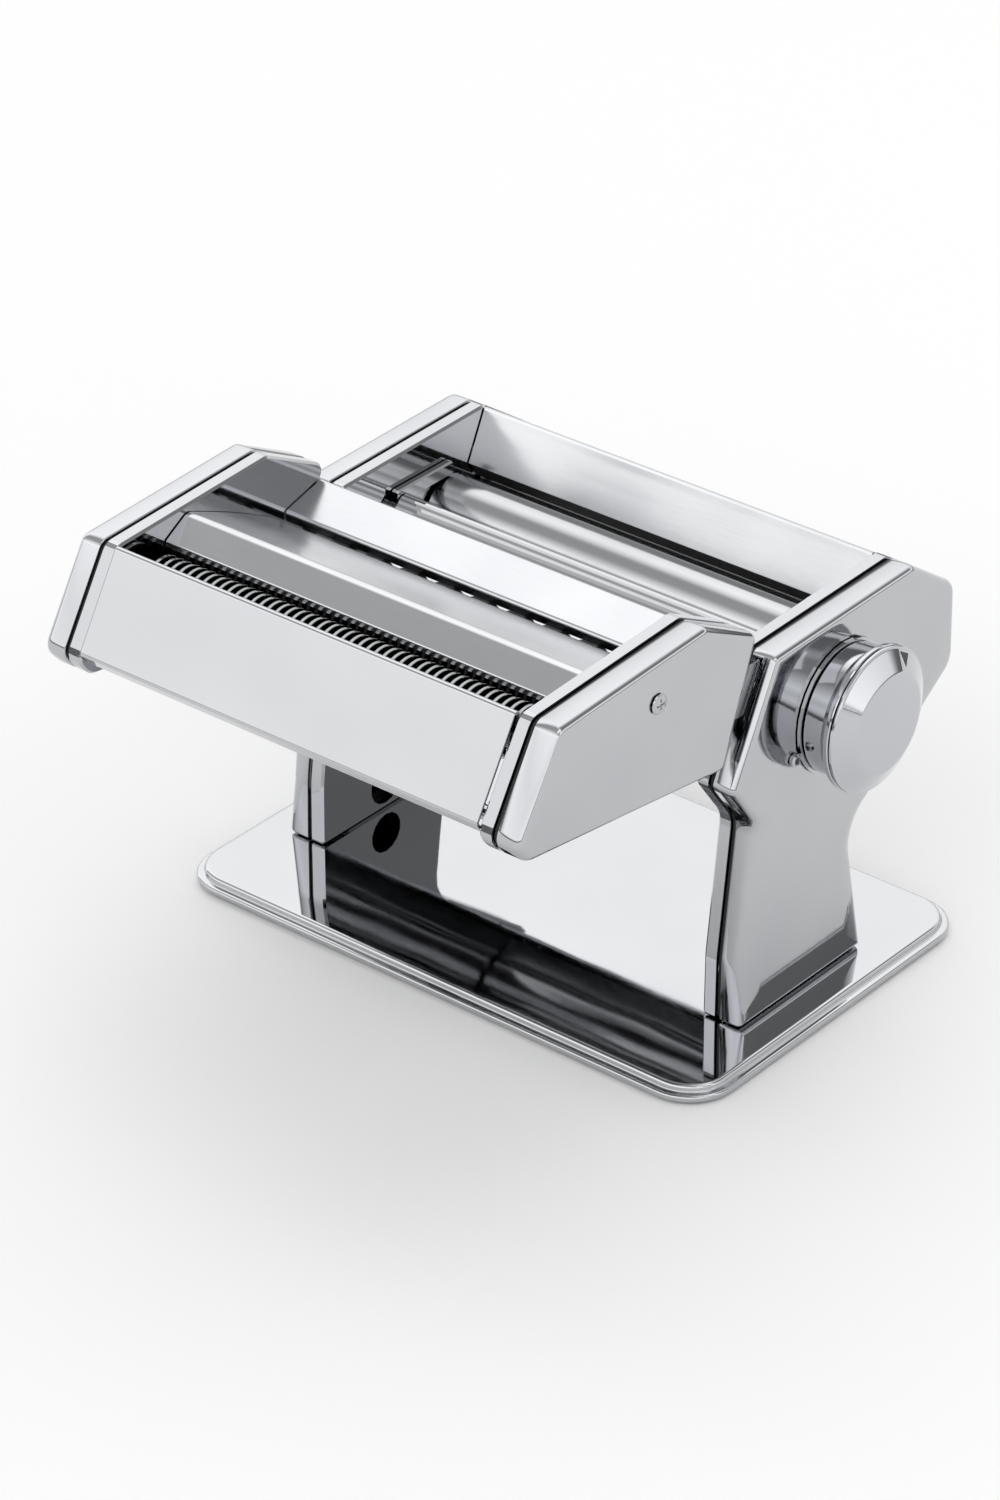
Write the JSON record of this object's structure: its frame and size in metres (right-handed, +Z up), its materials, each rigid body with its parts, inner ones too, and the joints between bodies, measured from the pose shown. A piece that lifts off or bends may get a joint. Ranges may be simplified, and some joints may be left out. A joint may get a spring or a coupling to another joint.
{
  "type": "pasta roller machine",
  "caption": "Hand-cranked pasta roller on a tray base: smooth rollers with a gap-setting knob and a lift-off double cutter unit in front.",
  "frame": {"origin": "centre of the bounding box, on the plane that the feet stand on", "axes": "+X along the rollers to the knob side, +Y from the cutter unit to the back, +Z up"},
  "size_m": [0.2106, 0.208, 0.1523],
  "materials": {
    "polished_steel": "mirror-polished stainless steel sheet",
    "brushed_steel": "brushed stainless steel",
    "ground_steel": "ground and turned steel",
    "zinc_plate": "zinc-plated steel gears",
    "black_gasket": "black rubber seam strip",
    "black_rubber": "matt black rubber",
    "white_bush": "natural acetal"
  },
  "bodies": {
    "frame": {"base_tray": "polished_steel", "crank_bush": "polished_steel", "front_cover": "polished_steel", "front_scraper": "brushed_steel", "front_tie_rod": "ground_steel", "hopper_sheet": "polished_steel", "index_pin": "ground_steel", "index_plate": "polished_steel", "left_cover": "polished_steel", "left_dough_guide": "polished_steel", "left_front_foot": "black_rubber", "left_inner_plate": "polished_steel", "left_rear_foot": "black_rubber", "left_seam_gasket": "black_gasket", "rear_cover": "polished_steel", "rear_scraper": "brushed_steel", "right_cover": "polished_steel", "right_dough_guide": "polished_steel", "right_front_foot": "black_rubber", "right_inner_plate": "polished_steel", "right_rear_foot": "black_rubber", "right_seam_gasket": "black_gasket"},
    "rear_roller": {"rear_roller": "polished_steel", "rear_roller_gear": "zinc_plate"},
    "gap_carriage": {"left_bearing_block": "white_bush", "right_bearing_block": "white_bush"},
    "front_roller": {"front_roller": "polished_steel", "front_roller_gear": "zinc_plate"},
    "regulator": {"regulator_shaft": "ground_steel"},
    "knob": {"knob_body": "polished_steel", "knob_cap": "polished_steel"},
    "cutter_unit": {"centre_ridge": "polished_steel", "cutter_front_tie_rod": "ground_steel", "cutter_middle_tie_rod": "ground_steel", "feed_sheet": "polished_steel", "front_sheet": "polished_steel", "left_cap_screw": "ground_steel", "left_cutter_cap": "polished_steel", "left_cutter_gasket": "black_gasket", "left_cutter_plate": "polished_steel", "left_hanging_bracket": "brushed_steel", "narrow_comb": "brushed_steel", "narrow_front_crank_bush": "polished_steel", "right_cap_screw": "ground_steel", "right_cutter_cap": "polished_steel", "right_cutter_gasket": "black_gasket", "right_cutter_plate": "polished_steel", "right_hanging_bracket": "brushed_steel", "wide_comb": "brushed_steel", "wide_front_crank_bush": "polished_steel"},
    "narrow_front_cutter": {"narrow_front_cutter": "polished_steel", "narrow_front_gear": "zinc_plate"},
    "narrow_rear_cutter": {"narrow_rear_cutter": "polished_steel", "narrow_rear_gear": "zinc_plate"},
    "wide_front_cutter": {"wide_front_cutter": "polished_steel", "wide_front_gear": "zinc_plate"},
    "wide_rear_cutter": {"wide_rear_cutter": "polished_steel", "wide_rear_gear": "zinc_plate"}
  },
  "joints": [
    {"name": "rear_roller_spin", "type": "hinge", "parent": "frame", "child": "rear_roller", "pos_m": [-0.0023, 0.08782, 0.101], "axis": [1, 0, 0], "continuous": true},
    {"name": "regulator_turn", "type": "hinge", "parent": "frame", "child": "regulator", "pos_m": [-0.0023, 0.04562, 0.0975], "axis": [1, 0, 0], "range_deg": [0, 288]},
    {"name": "gap_shift", "type": "slide", "parent": "frame", "child": "gap_carriage", "axis": [0, 1, 0], "range_m": [0, 0.0022]},
    {"name": "front_roller_spin", "type": "hinge", "parent": "gap_carriage", "child": "front_roller", "pos_m": [-0.0023, 0.06172, 0.101], "axis": [1, 0, 0], "continuous": true},
    {"name": "knob_pull", "type": "slide", "parent": "regulator", "child": "knob", "axis": [1, 0, 0], "range_m": [0, 0.004], "stiffness_N_per_m": 600, "springref_m": -0.002},
    {"name": "cutter_unit_lift", "type": "slide", "parent": "frame", "child": "cutter_unit", "axis": [0, 0, 1], "range_m": [0, 0.06]},
    {"name": "narrow_front_spin", "type": "hinge", "parent": "cutter_unit", "child": "narrow_front_cutter", "pos_m": [-0.0023, -0.07378, 0.1342], "axis": [1, 0, 0], "continuous": true},
    {"name": "narrow_rear_spin", "type": "hinge", "parent": "cutter_unit", "child": "narrow_rear_cutter", "pos_m": [-0.0023, -0.05778, 0.1342], "axis": [1, 0, 0], "continuous": true},
    {"name": "wide_front_spin", "type": "hinge", "parent": "cutter_unit", "child": "wide_front_cutter", "pos_m": [-0.0023, -0.03228, 0.118], "axis": [1, 0, 0], "continuous": true},
    {"name": "wide_rear_spin", "type": "hinge", "parent": "cutter_unit", "child": "wide_rear_cutter", "pos_m": [-0.0023, -0.01528, 0.118], "axis": [1, 0, 0], "continuous": true}
  ],
  "couplings": [
    {"joint": "gap_shift", "follows": "regulator_turn", "m_per_rad": 0.0004376},
    {"joint": "front_roller_spin", "follows": "rear_roller_spin", "ratio": -1},
    {"joint": "narrow_rear_spin", "follows": "narrow_front_spin", "ratio": -1},
    {"joint": "wide_rear_spin", "follows": "wide_front_spin", "ratio": -1}
  ]
}
